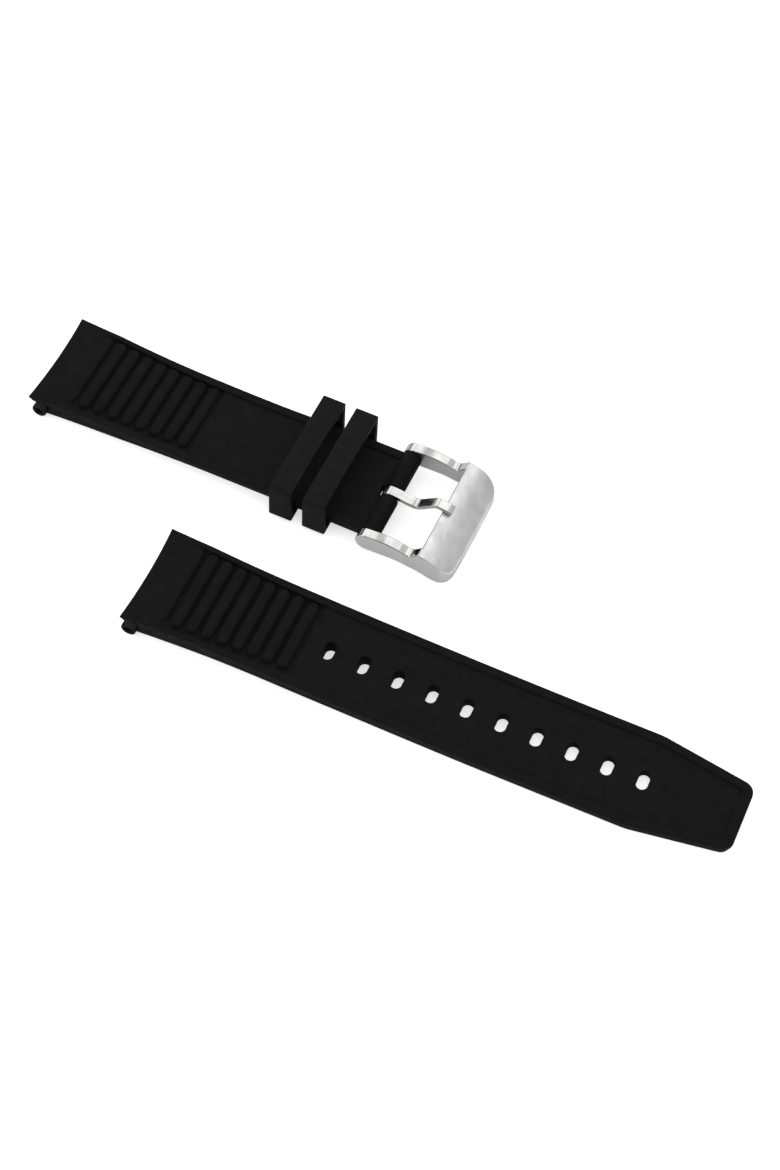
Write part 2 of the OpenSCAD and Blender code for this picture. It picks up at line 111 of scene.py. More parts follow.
# Metal mirrors the room's dark corner on the camera's side, and walls that get darker downwards
camera_side = (-0.15, -0.86, 0.49)
look = add(room, "TexCoord")
towards = add(room, "VectorMath", operation="DOT_PRODUCT")
towards.inputs[1].default_value = camera_side
dusk = map_range(room, (0.72, 0.94), (1.0, 0.12), interpolation_type="SMOOTHSTEP")
height = add(room, "SeparateXYZ")
walls = map_range(room, (0.15, 0.85), (0.5, 0.96), interpolation_type="SMOOTHSTEP")
both = add(room, "Math", operation="MULTIPLY")
wire(room, look.outputs["Generated"], towards.inputs[0])
wire(room, look.outputs["Generated"], height.inputs[0])
wire(room, towards.outputs["Value"], dusk.inputs["Value"])
wire(room, height.outputs["Z"], walls.inputs["Value"])
wire(room, dusk.outputs["Result"], both.inputs[0])
wire(room, walls.outputs["Result"], both.inputs[1])
wire(room, both.outputs[0], mirrored.inputs["Color"])


def straight_or_clear(tree):
    """1 for a ray that shows the background straight or through something clear, and the light path."""
    ray = add(tree, "LightPath")
    either = add(tree, "Math", operation="MAXIMUM")
    wire(tree, ray.outputs["Is Camera Ray"], either.inputs[0])
    wire(tree, ray.outputs["Is Transmission Ray"], either.inputs[1])
    return either.outputs[0], ray


shown, ray = straight_or_clear(room)
gloss = add(room, "MixShader")
choose = add(room, "MixShader")
wire(room, ray.outputs["Is Glossy Ray"], gloss.inputs[0])
wire(room, room_glow.outputs[0], gloss.inputs[1])
wire(room, mirrored.outputs[0], gloss.inputs[2])
wire(room, shown, choose.inputs[0])
wire(room, gloss.outputs[0], choose.inputs[1])
wire(room, seen_white.outputs[0], choose.inputs[2])
wire(room, choose.outputs[0], add(room, "OutputWorld").inputs["Surface"])

table_half, table_drop = 3.0, 0.0001        # the drop keeps the table clear of the undersides
table_mesh = bpy.data.meshes.new("table")
table_mesh.from_pydata([(sx * table_half, sy * table_half, 0) for sx, sy in
                        ((-1, -1), (1, -1), (1, 1), (-1, 1))], [], [(0, 1, 2, 3)])
table = bpy.data.objects.new("table", table_mesh)
scene.collection.objects.link(table)
table.location.z = -table_drop
table_white = bpy.data.materials.new("table_white")
table_white.use_nodes = True
top_coat = table_white.node_tree
top_coat.nodes.clear()
shown, ray = straight_or_clear(top_coat)
seen_glow, mirrored_glow = 0.57, 0.1        # the table's own light, as seen and as mirrored in metal
lift = add(top_coat, "Math", operation="MULTIPLY")
lift.inputs[1].default_value = seen_glow
lift_mirrored = add(top_coat, "Math", operation="MULTIPLY_ADD")
lift_mirrored.inputs[1].default_value = mirrored_glow
whiteness = add(top_coat, "Emission", Color=(1, 1, 1, 1))
both = add(top_coat, "AddShader")
wire(top_coat, shown, lift.inputs[0])
wire(top_coat, ray.outputs["Is Glossy Ray"], lift_mirrored.inputs[0])
wire(top_coat, lift.outputs[0], lift_mirrored.inputs[2])
wire(top_coat, lift_mirrored.outputs[0], whiteness.inputs["Strength"])
wire(top_coat, add(top_coat, "BsdfDiffuse", Color=(0.8, 0.8, 0.8, 1)).outputs[0], both.inputs[0])
wire(top_coat, whiteness.outputs[0], both.inputs[1])
wire(top_coat, both.outputs[0], add(top_coat, "OutputMaterial").inputs["Surface"])
table_mesh.materials.append(table_white)

# The buckle half of the strap. One piece of black rubber, moulded in two tiers: a plate on top
# with ribs and a rim, a narrower tier under it, a barrel for the case's spring bar and a roll
# for the buckle's bar.
mm = 0.001
layout_x, layout_y = 80.1322, -18.0743      # middle of the whole layout, from the case end
case_end_w, strap_w, waist_l = 22.0, 20.2, 28.0
plate_z, plate_t, visor_lean, bend_x = 5.4, 1.1, 1.0, 9.0
end_hollow = 0.5
boss_r, case_bore_r = 1.5, 0.8
panel_x, rim_step, rib_h, rib_r, rib_gap = 5.4, 0.4, 0.85, 1.15, 0.4
rib_x, rib_pitch, rib_count = 7.0, 3.06, 9
rib_foot, rib_flatness = 1.26, 3.3          # how much wider a rib's foot is than its crest, and how flat
near_less, far_more = 0.7, 0.25             # as seen, the ribs sit a little towards the far side
bar_x, bar_z, roll_r = 73.7, 3.7, 1.9
edge_r, tier_edge_r, skin_r = 0.12, 0.25, 0.15      # roundings: plate, tier, barrel and roll
quarter = (0, 30, 60, 90)                   # the turn of a rounding, in degrees
wall, crisp = 0.09, 0.03                    # a step's slope, and the gap of rings that keep an edge crisp


def ease(t):
    t = max(0.0, min(1.0, t))
    return t * t * (3 - 2 * t)


def blend(x, start, end, a, b):
    return a + (b - a) * ease((x - start) / (end - start))


def half_width(x):
    """Half the plate's width: it narrows from the case end to the waist."""
    return strap_w / 2 + (case_end_w - strap_w) / 2 * max(0.0, 1 - x / waist_l) ** 2


def fall(x, end_z, run):
    """The top's height: level over the case end, then down to end_z in a long curve."""
    return end_z + (plate_z - end_z) * (1 - max(0.0, min(1.0, (x - bend_x) / run))) ** 2


def rim_at(x):
    """Width of the flat rim beside the panel."""
    return blend(x, panel_x, 40, 1.0, 1.75)


def tier_at(x):
    """How far the lower tier stands back under the plate."""
    return blend(x, 25, 75, 0.75, 0.2)


def panel_depth(x):
    """How deep the panel lies: as deep as the ribs are high among them, and shallow past them."""
    ribs_end = rib_x + (rib_count - 1) * rib_pitch + rib_r
    ramp_end = rib_x + (rib_count - 0.5) * rib_pitch + 1.1
    return min(blend(x, panel_x, panel_x + 4, 0.02, rib_h),
               blend(x, ribs_end, ramp_end, rib_h, rim_step))


def rib_rise(x, y):
    """How much of a rib stands at a point of the panel, from 0 in a groove to 1 on a crest."""
    i = max(0, min(rib_count - 1, round((x - rib_x) / rib_pitch)))
    middle = rib_x + i * rib_pitch
    reach = half_width(middle) - rim_at(middle) - rib_gap - rib_r
    s = math.hypot(x - middle, max(0.0, y - reach - far_more, -y - reach + near_less)) / (rib_r * rib_foot)
    return 0.0 if s >= 1 else 1 - ease(s ** rib_flatness)


def rounding(r, degrees):
    """How far a rounded edge of radius r stands back from its two sides at this point of its turn."""
    return r * (1 - math.sin(math.radians(degrees))), r * (1 - math.cos(math.radians(degrees)))


def arc_points(a, b, c, r, n):
    """Points of an arc that rounds the corner b between the sides a-b and b-c."""
    a, b, c = Vector(a), Vector(b), Vector(c)
    u, v = (a - b).normalized(), (c - b).normalized()
    half = u.angle(v) / 2
    centre = b + (u + v).normalized() * r / math.sin(half)
    start, stop = b + u * r / math.tan(half), b + v * r / math.tan(half)
    a0 = math.atan2(start.y - centre.y, start.x - centre.x)
    sweep = math.atan2(stop.y - centre.y, stop.x - centre.x) - a0
    sweep = (sweep + math.pi) % (2 * math.pi) - math.pi
    return [(centre.x + r * math.cos(a0 + sweep * i / n), centre.y + r * math.sin(a0 + sweep * i / n))
            for i in range(n + 1)]


# Rows across the strap, close together where the ribs end and wide apart in the middle
rows = [0, 0.008, 0.016, 0.024, 0.032, 0.04, 0.048, 0.056, 0.064, 0.073, 0.083, 0.096,
        0.12, 0.16, 0.23, 0.33, 0.44]
rows = rows + [0.5] + [1 - v for v in reversed(rows)]
crowd_l, panel_start = 22.0, panel_x + wall


def straight_side(stations, end, inset):
    """The straight run of one side, from the case end on; its points crowd towards a late start."""
    side = []
    for x in stations:
        x += end * max(0.0, 1 - x / crowd_l) ** 2
        side.append((x, half_width(x) - inset(x)))
    return side


def station_for(x):
    """The station that straight_side moves to x on the panel, where the sides start late."""
    if x >= crowd_l:
        return x
    a, b, c = panel_start / crowd_l ** 2, 1 - 2 * panel_start / crowd_l, panel_start - x
    return (-b + math.sqrt(b * b - 4 * a * c)) / (2 * a)


def ribbed_stations():
    """Stations whose columns follow each rib from groove to groove, so that its flanks stay smooth."""
    places = [panel_start]
    for i in range(rib_count):
        places += [rib_x + i * rib_pitch + d for d in
                   (-1.45, -1.34, -1.23, -1.12, -1.0, -0.86, -0.7, -0.45, 0,
                    0.45, 0.7, 0.86, 1.0, 1.12, 1.23, 1.34, 1.45, 1.53)]
    places += [33.25, 33.6, 34.0]           # the slope past the last rib
    return [0.0] + [station_for(x) for x in places[1:]]


def mould(name, length, taper, stations, top, under, reach=0.0):
    """A strap half as rings round its outline, from the underside's middle up and over the top."""
    taper_l, tip_w, tip_r, shoulder_r = taper or (0, 0, 0, 0)
    shoulder_steps, edge_steps, corner_steps, least_r = 5, 12, 10, 0.5

    def outline(inset, end, tip, hollow):
        side = straight_side(stations, end, inset)
        if taper:
            d = inset(length - taper_l)
            run = Vector((taper_l, (tip_w - strap_w) / 2)).normalized()
            out = Vector((-run.y, run.x))
            shoulder = Vector((length - taper_l, strap_w / 2)) - out * d
            shoulder += run * ((shoulder.y - (strap_w / 2 - d)) / -run.y)
            far_x = length - tip
            corner = shoulder + run * ((far_x - shoulder.x) / run.x)
            side += arc_points((side[-1][0], shoulder.y), shoulder, corner, shoulder_r, shoulder_steps)
            turn_r = max(least_r, tip_r - 0.9 * tip)
            turn = arc_points(shoulder, corner, (far_x, 0), turn_r, corner_steps)
            first = side[-1]
            side += [(first[0] + (turn[0][0] - first[0]) * k / edge_steps,
                      first[1] + (turn[0][1] - first[1]) * k / edge_steps) for k in range(1, edge_steps)]
            side += turn[:corner_steps // 2 + 1]
            across = turn[corner_steps // 2:]
            free = len(rows) - 1 - 2 * (len(across) - 1)
            top_y = across[-1][1]
            across += [(far_x, top_y * (1 - 2 * k / free)) for k in range(1, free)]
            across += [(x, -y) for x, y in reversed(turn[corner_steps // 2:])]
        else:
            side.append((length - tip, strap_w / 2 - inset(length)))
            across = [(length - tip, side[-1][1] * (1 - 2 * v)) for v in rows]
        near = side[0][1]
        start = []
        for v in rows:
            y = near * (2 * v - 1)
            dip = end_hollow * max(0.0, 1 - (y / (case_end_w / 2)) ** 2)
            x = side[0][0]
            if hollow == "add":
                x += dip
            elif hollow:
                x = max(x, dip)
            start.append((x, y))
        low = [(x, -y) for x, y in reversed(side)]
        return start + side[1:] + across[1:] + low[1:-1], len(side) - 1

    rings = []          # each: points round the outline with their heights

    def ring(inset, end, tip, hollow, height):
        flat, columns = outline(inset, end, tip, hollow)
        rings.append([(x, y, height(x, y)) for x, y in flat])
        return columns

    tier_tip = 0.4 if taper else 0.0
    for a in quarter:                                        # lower edge of the tier
        s, c = rounding(tier_edge_r, a)
        ring(lambda x: tier_at(x) + s, boss_r + s, tier_tip + (s if taper else 0), None,
             lambda x, y: under(x) + c)
    under_plate, seam = 0.1, 0.02                            # where the tier's top passes into the plate
    lower_r, lower_end = 0.12, 0.1                           # the plate's lower edge, at sides and end
    ring(tier_at, boss_r, tier_tip, None, lambda x, y: top(x) - plate_t - under_plate)
    ring(lambda x: tier_at(x) - crisp, boss_r - crisp, max(0, tier_tip - crisp), None,
         lambda x, y: top(x) - plate_t - seam)
    flush = 1.0 if taper else 0.0                            # the roll hides the buckle half's far end
    lean = visor_lean - reach
    ring(lambda x: lower_r, lean + lower_end, lower_r * flush, True, lambda x, y: top(x) - plate_t)
    ring(lambda x: crisp, lean, crisp * flush, True, lambda x, y: top(x) - plate_t + crisp)
    ring(lambda x: 0.0, lean - wall, 0.0, True, lambda x, y: top(x) - plate_t + lower_r)
    ring(lambda x: 0.0, -reach, 0.0, "add", lambda x, y: top(x) - edge_r - crisp)
    for a in (22, 45, 68, 90):                               # the plate's top edge
        c, s = edge_r * (1 - math.cos(math.radians(a))), edge_r * math.sin(math.radians(a))
        ring(lambda x: c, c - reach, c * flush, "add", lambda x, y: top(x) - edge_r + s)
    rim_tip = 2.05 if taper else roll_r - 0.1
    brink = 0.15                                             # the rim's inner edge
    for t, hollow in ((0.33, "add"), (0.66, None)):
        ring(lambda x: edge_r + (rim_at(x) - brink - edge_r) * t,
             edge_r - reach + (panel_x - edge_r + reach) * t,
             edge_r * flush + (rim_tip - brink - edge_r * flush) * t, hollow, lambda x, y: top(x))
    for out, deep in ((wall, 0.0), (crisp, 0.25), (0.0, 1.0)):
        ring(lambda x: rim_at(x) - out, panel_x - out, rim_tip - out, None,
             lambda x, y: top(x) - min(wall, panel_depth(x) / 2) * deep)
    for inn, deep in ((0.0, 1.0), (crisp, 0.25), (wall, 0.0)):
        columns = ring(lambda x: rim_at(x) + inn, panel_x + inn, rim_tip + inn, None,
                       lambda x, y: top(x) - panel_depth(x) + min(wall, panel_depth(x) / 2) * deep)

    mesh = bmesh.new()
    loops = [[mesh.verts.new(p) for p in r] for r in rings]
    count = len(loops[0])
    for low, high in zip(loops, loops[1:]):
        for k in range(count):
            n = (k + 1) % count
            mesh.faces.new((low[k], high[k], high[n], low[n]))
    across = len(rows) - 1

    def edges(loop):
        start = loop[:across + 1]
        high = loop[across:across + columns + 1]
        tip = loop[across + columns:2 * across + columns + 1]
        low = [loop[0]] + loop[:2 * across + columns - 1:-1]
        return start, high, list(reversed(tip)), low

    start, high, tip, low = edges(loops[0])                  # the underside
    mesh.faces.new([low[1], *start, high[1]])
    for i in range(1, columns - 1):
        mesh.faces.new((low[i + 1], low[i], high[i], high[i + 1]))
    mesh.faces.new([*reversed(tip), low[columns - 1], high[columns - 1]])

    start, high, tip, low = edges(loops[-1])                 # the panel, with its ribs
    grid, near_tip = [start], 40                             # the tip's shape fades over few columns
    for i in range(1, columns):
        a, b = low[i].co, high[i].co
        line = [low[i]]
        u = ((a.x + b.x) / 2 - start[0].co.x) / (tip[0].co.x - start[0].co.x)
        for j in range(1, across):
            p = a.lerp(b, rows[j])
            if taper:
                p += (tip[j].co - tip[0].co.lerp(tip[across].co, rows[j])) * u ** near_tip
            z = top(p.x) - min(panel_depth(p.x), rib_h * (1 - rib_rise(p.x, p.y)))
            line.append(mesh.verts.new((p.x, p.y, z)))
        line.append(high[i])
        grid.append(line)
    grid.append(tip)
    for a, b in zip(grid, grid[1:]):
        for j in range(across):
            mesh.faces.new((a[j], b[j], b[j + 1], a[j + 1]))
    bmesh.ops.recalc_face_normals(mesh, faces=mesh.faces)
    return finished(name, mesh)


def finished(name, mesh):
    """The mesh as an object of that name in the scene."""
    data = bpy.data.meshes.new(name)
    mesh.to_mesh(data)
    mesh.free()
    piece = bpy.data.objects.new(name, data)
    scene.collection.objects.link(piece)
    return piece


def skinned(name, mesh, loops):
    """An object from loops of vertices that follow each other, closed at both ends."""
    for low, high in zip(loops, loops[1:]):
        for k in range(len(low)):
            n = (k + 1) % len(low)
            mesh.faces.new((low[k], low[n], high[n], high[k]))
    mesh.faces.new(list(reversed(loops[0])))
    mesh.faces.new(loops[-1])
    bmesh.ops.recalc_face_normals(mesh, faces=mesh.faces)
    return finished(name, mesh)


def drawn_bar(name, profile, half_y, round_r):
    """A closed side view (x, z) carried across from -half_y to half_y, with its end edges rounded."""
    count = len(profile)
    normals = []
    for k in range(count):
        (ax, az), (bx, bz) = profile[k - 1], profile[(k + 1) % count]
        normals.append(Vector((bz - az, ax - bx)).normalized())
    mesh = bmesh.new()
    loops = []
    for side in (-1, 1):
        for a in quarter if side < 0 else reversed(quarter):
            inset, short = rounding(round_r, a)
            loops.append([mesh.verts.new((x - n.x * inset, side * (half_y - short), z - n.y * inset))
                          for (x, z), n in zip(profile, normals)])
    return skinned(name, mesh, loops)


def circle_of(x, z, r, n, start=0.0, sweep=360.0):
    """Points of a circle, or of an arc with both its ends."""
    closed = 0 if sweep == 360 else 1
    return [(x + r * math.cos(math.radians(start + sweep * k / n)),
             z + r * math.sin(math.radians(start + sweep * k / n))) for k in range(n + closed)]


def turned_along_y(name, x, z, outline, n):
    """A cutter turned about an axis along Y: outline is a list of (radius, y)."""
    mesh = bmesh.new()
    loops = []
    for r, y in outline:
        loops.append([mesh.verts.new((x + r * math.cos(2 * math.pi * k / n), y,
                                      z + r * math.sin(2 * math.pi * k / n))) for k in range(n)])
    return skinned(name, mesh, loops)


def join(piece, other, how):
    """Joins, cuts or crops a piece with another one, which is used up."""
    change = piece.modifiers.new("join", "BOOLEAN")
    change.operation, change.solver, change.object = how, "EXACT", other
    bpy.context.view_layer.update()
    solid = bpy.data.meshes.new_from_object(piece.evaluated_get(bpy.context.evaluated_depsgraph_get()))
    piece.modifiers.clear()
    old, piece.data = piece.data, solid
    bpy.data.meshes.remove(old)
    spare = other.data
    bpy.data.objects.remove(other)
    bpy.data.meshes.remove(spare)


def box_cutter(name, x, y, z):
    """A box from two limits on each axis."""
    mesh = bmesh.new()
    corners = [mesh.verts.new((a, b, c)) for a in x for b in y for c in z]
    for face in ((0, 1, 3, 2), (4, 6, 7, 5), (0, 4, 5, 1), (2, 3, 7, 6), (0, 2, 6, 4), (1, 5, 7, 3)):
        mesh.faces.new([corners[k] for k in face])
    return finished(name, mesh)


def add_case_end(half):
    """The barrel under the plate's end and the bore that takes the case's spring bar."""
    start, barrel_ends = math.degrees(math.acos((visor_lean - boss_r) / boss_r)), 371.5
    barrel = circle_of(boss_r, boss_r, boss_r, 48, start, barrel_ends - start)
    neck_x = 2 * boss_r + 0.4
    profile = [(visor_lean, plate_z - plate_t / 2)] + barrel
    profile += [(neck_x, plate_z - plate_t), (neck_x, plate_z - plate_t / 2)]
    reach, flare, over = case_end_w / 2 - 0.1, 0.04, 0.7
    join(half, drawn_bar("case_barrel", profile, reach, skin_r), "UNION")
    mouth_r = case_bore_r + flare
    bore = [(mouth_r, -reach - over), (mouth_r, -reach), (case_bore_r, -reach + flare),
            (case_bore_r, reach - flare), (mouth_r, reach), (mouth_r, reach + over)]
    join(half, turned_along_y("bore", boss_r, boss_r, bore, 40), "DIFFERENCE")


def place_half(half, x, y, turn):
    """Moves a half, drawn in millimetres from its case end, to its place in the layout, in metres."""
    c, s = math.cos(math.radians(turn)), math.sin(math.radians(turn))
    for v in half.data.vertices:
        v.co = ((x + v.co.x * c - v.co.y * s - layout_x) * mm,
                (y + v.co.x * s + v.co.y * c - layout_y) * mm, v.co.z * mm)
    half.data.update()


def dress(piece, node, body, material, sharp=62):
    """Gives a piece its material and smooth shading, puts it on its body, and hides the CAD node that it
    shows.
    """
    piece.data.materials.clear()
    piece.data.materials.append(material)
    piece.data.shade_smooth()
    piece.data.set_sharp_from_angle(angle=math.radians(sharp))
    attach(piece, body)
    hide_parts(node)


def noise(tree, size, stretch=(1, 1, 1), detail=2.0):
    """Noise whose blobs are about size millimetres wide, and longer along an axis with a small stretch."""
    place = add(tree, "TexCoord")
    scaled = add(tree, "Mapping", Scale=stretch)
    wire(tree, place.outputs["Object"], scaled.inputs["Vector"])
    texture = add(tree, "TexNoise", Scale=1 / (size * mm), Detail=detail)
    wire(tree, scaled.outputs[0], texture.inputs["Vector"])
    return texture.outputs["Fac"]


def between(tree, source, low, high):
    """The source's middle range, spread from low to high."""
    spread = map_range(tree, (0.3, 0.7), (low, high))
    wire(tree, source, spread.inputs["Value"])
    return spread.outputs["Result"]


def shade_between(tree, source, dark, light):
    """A colour that wanders between two near shades."""
    mix = add(tree, "Mix", data_type="RGBA")                 # 6 and 7 are its colours
    mix.inputs[6].default_value, mix.inputs[7].default_value = (*dark, 1), (*light, 1)
    wire(tree, between(tree, source, 0, 1), mix.inputs[0])
    return mix.outputs[2]


def relief(tree, source, height, under=None):
    """A bump of the given height in millimetres, on top of a wider one."""
    bump = add(tree, "Bump", Strength=1.0, Distance=height * mm)
    wire(tree, source, bump.inputs["Height"])
    if under:
        wire(tree, under, bump.inputs["Normal"])
    return bump.outputs[0]


def moulded_rubber(name, dark, light):
    """Black rubber off a fine blasted mould: matte, a little uneven in tone, with a very fine grain."""
    skin = bpy.data.materials.new(name)
    skin.use_nodes = True
    tree = skin.node_tree
    shader = tree.nodes["Principled BSDF"]
    shader.inputs["Specular IOR Level"].default_value = 0.05
    patches, dull, flow_marks, grain = 2.2, 1.4, 1.1, 0.09   # widths in millimetres
    wire(tree, shade_between(tree, noise(tree, patches), dark, light), shader.inputs["Base Color"])
    wire(tree, between(tree, noise(tree, dull), 0.52, 0.66), shader.inputs["Roughness"])
    flow = relief(tree, noise(tree, flow_marks), 0.004)
    wire(tree, relief(tree, noise(tree, grain), 0.003, flow), shader.inputs["Normal"])
    return skin


strap_skin = moulded_rubber("moulded_rubber", (0.005, 0.005, 0.0051), (0.007, 0.007, 0.0071))
plain_x = 34.6                              # past the ribs and their slope
band_stations = ribbed_stations() + [plain_x + 0.9 * k for k in range(41)]


def band_under(x):
    """The underside's height: it rises off the table as the half bridges to the buckle."""
    return blend(x, 14, 44, 0.5, 1.45) + blend(x, 40, 60, 0, 0.45)


def band_top(x):
    return fall(x, end_z=3.95, run=35) + blend(x, 44, 66, 0, 0.7)


band_reach = 0.4                            # as seen, its plate goes further over the case end
band = mould("buckle_half_rubber", bar_x, None, band_stations, band_top, band_under, band_reach)
add_case_end(band)
roll = circle_of(bar_x, bar_z, roll_r, 64)
join(band, drawn_bar("end_roll", roll, strap_w / 2 - 0.01, skin_r), "UNION")
bar_room_r, room_mouth_r, room_half, past_end = 0.95, 1.35, 10.0, 10.5
bar_room = [(room_mouth_r, -past_end), (bar_room_r, -room_half),
            (bar_room_r, room_half), (room_mouth_r, past_end)]
join(band, turned_along_y("bar_room", bar_x, bar_z, bar_room, 40), "DIFFERENCE")
slot_half_w = 1.35
join(band, box_cutter("tang_slot", (bar_x - 2.5, bar_x + 3), (-slot_half_w, slot_half_w), (-2, 12)),
     "DIFFERENCE")
place_half(band, 0, 0, 0)
dress(band, "buckle_strap", "buckle_half", strap_skin)

# The tail half. The same rubber and the same moulded ribs, with ten long holes for the tang.
tail_l, hole_x, hole_pitch, hole_w, hole_l, hole_count = 120.4, 38.1, 7.0, 2.2, 4.0, 10
tail_stations = ribbed_stations() + [plain_x + 1.2 * k for k in range(54)]
tail_tip = (19.0, 14.2, 2.4, 14.0)          # taper's length, tip's width, its corners' and shoulders' radii


def tail_top(x):
    return fall(x, end_z=2.2, run=95.4)


def tail_under(x):
    return blend(x, 14, 40, 0.5, 0)


def hole_cutter(x):
    """A long hole whose mouths flare, which rounds their edges."""
    floor = tail_top(x) - panel_depth(x)
    flare, over, around = 0.14, 1.0, 48
    turn = (0, 0.52, 1.05, 1.57)                             # a quarter turn, in radians
    steps = [(-over, flare)]
    steps += [(tail_under(x) + flare * (1 - math.cos(a)), flare * (1 - math.sin(a))) for a in turn]
    steps += [(floor - flare * (1 - math.cos(a)), flare * (1 - math.sin(a))) for a in reversed(turn)]
    steps.append((floor + over, flare))
    mesh = bmesh.new()
    loops = []
    for z, out in steps:
        r, half = hole_w / 2 + out, (hole_l - hole_w) / 2
        loop = []
        for k in range(around):
            a = 2 * math.pi * (k + 0.5) / around
            y = r * math.sin(a) + math.copysign(half, math.sin(a))
            loop.append(mesh.verts.new((x + r * math.cos(a), y, z)))
        loops.append(loop)
    return skinned("hole", mesh, loops)


tail = mould("tail_half_rubber", tail_l, tail_tip, tail_stations, tail_top, tail_under)
add_case_end(tail)
for i in range(hole_count):
    join(tail, hole_cutter(hole_x + i * hole_pitch), "DIFFERENCE")
tail_x, tail_y, tail_turn = 39.8, -37.6, 0.9
place_half(tail, tail_x, tail_y, tail_turn)
dress(tail, "tail_strap", "tail_half", strap_skin)

# The two keepers. Loose square loops of the same rubber, cut from a moulded sleeve, which hold
# the tail's end when the strap is worn.
keeper_w, keeper_h, keeper_l, keeper_t, keeper_r, keeper_z = 24.9, 9.2, 4.7, 1.1, 0.7, 0.6
sleeve_skin = moulded_rubber("sleeve_rubber", (0.0074, 0.0074, 0.0075), (0.0098, 0.0098, 0.0099))


def box_loop(w, h, r):
    """Points round an upright rectangle (y, z) with round corners and a few on each side."""
    steps = 6
    turns = []
    for sy, sz, first in ((1, 1, 0), (-1, 1, 90), (-1, -1, 180), (1, -1, 270)):
        turns.append(circle_of(sy * (w / 2 - r), sz * (h / 2 - r), r, steps, first, 90))
    loop = []
    for turn, following in zip(turns, turns[1:] + turns[:1]):
        (y0, z0), (y1, z1) = turn[-1], following[0]
        loop += turn
        loop += [(y0 + (y1 - y0) * k / steps, z0 + (z1 - z0) * k / steps) for k in range(1, steps)]
    return loop


def keeper(name, start_x, node, body):
    mesh = bmesh.new()
    edge = 0.16
    outer = (keeper_w, keeper_h, keeper_r, -1)
    inner = (keeper_w - 2 * keeper_t, keeper_h - 2 * keeper_t, max(0.3, keeper_r - keeper_t * 0.6), 1)
    back = quarter[::-1]
    sections = []                                            # round the wall: out, over, in and back
    for (w, h, r, way), turn, at_start in ((outer, quarter, True), (outer, back, False),
                                           (inner, quarter, False), (inner, back, True)):
        for a in turn:
            e, d = rounding(edge, a)
            grow = way * e
            sections.append((w + 2 * grow, h + 2 * grow, r + grow, d if at_start else keeper_l - d))
    rings = []
    for w, h, r, x in sections:
        rings.append([mesh.verts.new(((start_x + x - layout_x) * mm, (y - layout_y) * mm,
                                      (keeper_z + keeper_h / 2 + z) * mm)) for y, z in box_loop(w, h, r)])
    for low, high in zip(rings, rings[1:] + rings[:1]):
        for k in range(len(low)):
            n = (k + 1) % len(low)
            mesh.faces.new((low[k], low[n], high[n], high[k]))
    bmesh.ops.recalc_face_normals(mesh, faces=mesh.faces)
    piece = finished(name, mesh)
    dress(piece, node, body, sleeve_skin)


first_x, second_x = 53.2, 60.3
keeper("keeper_one", first_x, "first_keeper", "first_keeper")
keeper("keeper_two", second_x, "second_keeper", "second_keeper")

# The buckle's frame. Stainless steel, milled from bar: two arms that carry the pins, and one
# solid front bar. The arms' tops are polished, the front bar is satin.
arm_r, window_l, window_half_w, front_l = 2.1, 11.1, 10.25, 7.0
crest_z, dip_z, curl_z, buckle_w, front_r, front_bulge = 2.85, 1.3, 3.7, 24.7, 3.0, 0.6
pin_hole_r, pin_hole_half = 0.45, 11.65


def smooth_line(points, n):
    """A smooth line through the points, with n steps from each to the next."""
    line = []
    for i in range(len(points) - 1):
        a, b = Vector(points[max(0, i - 1)]), Vector(points[i])
        c, d = Vector(points[i + 1]), Vector(points[min(len(points) - 1, i + 2)])
        for k in range(n):
            t = k / n
            line.append(0.5 * (2 * b + (c - a) * t + (2 * a - 5 * b + 4 * c - d) * t * t
                               + (3 * b - a - 3 * c + d) * t ** 3))
    line.append(Vector(points[-1]))
    return [(p.x, p.y) for p in line]


def soften(piece, width, steps, angle):
    """Rounds every edge of a piece that is sharper than angle, and leaves no stray or folded faces."""
    short_edge, stray, sliver = 0.08, 0.012, 0.005
    mesh = bmesh.new()
    mesh.from_mesh(piece.data)
    bmesh.ops.dissolve_limit(mesh, angle_limit=math.radians(0.05), verts=mesh.verts, edges=mesh.edges)
    bmesh.ops.remove_doubles(mesh, verts=mesh.verts, dist=short_edge)
    sharp = [e for e in mesh.edges if len(e.link_faces) == 2 and e.calc_face_angle() > math.radians(angle)]
    bmesh.ops.bevel(mesh, geom=sharp, offset=width, offset_type="OFFSET", segments=steps, profile=0.5,
                    affect="EDGES", clamp_overlap=False)
    bmesh.ops.remove_doubles(mesh, verts=mesh.verts, dist=stray)
    bmesh.ops.dissolve_degenerate(mesh, edges=mesh.edges, dist=sliver)
    bmesh.ops.triangulate(mesh, faces=mesh.faces)
    same_corners = {}
    for face in mesh.faces:
        same_corners.setdefault(frozenset(face.verts), []).append(face)
    folds = [face for pair in same_corners.values() if len(pair) == 2 for face in pair]
    bmesh.ops.delete(mesh, geom=folds, context="FACES")
    mesh.to_mesh(piece.data)
    mesh.free()


def nearest_on(line, u, v):
    """How far a point is from a drawn line, and the direction across the line there."""
    best = (9.0, 0, 0.0)
    for k, ((au, av), (bu, bv)) in enumerate(zip(line, line[1:])):
        du, dv = bu - au, bv - av
        t = max(0.0, min(1.0, ((u - au) * du + (v - av) * dv) / (du * du + dv * dv)))
        away = math.hypot(au + du * t - u, av + dv * t - v)
        if away < best[0]:
            best = (away, k, t)
    away, k, t = best
    across = []
    for i in (k, k + 1):
        (au, av), (bu, bv) = line[max(0, i - 1)], line[min(len(line) - 1, i + 1)]
        across.append(Vector((av - bv, bu - au)).normalized())
    return away, across[0].lerp(across[1], t)


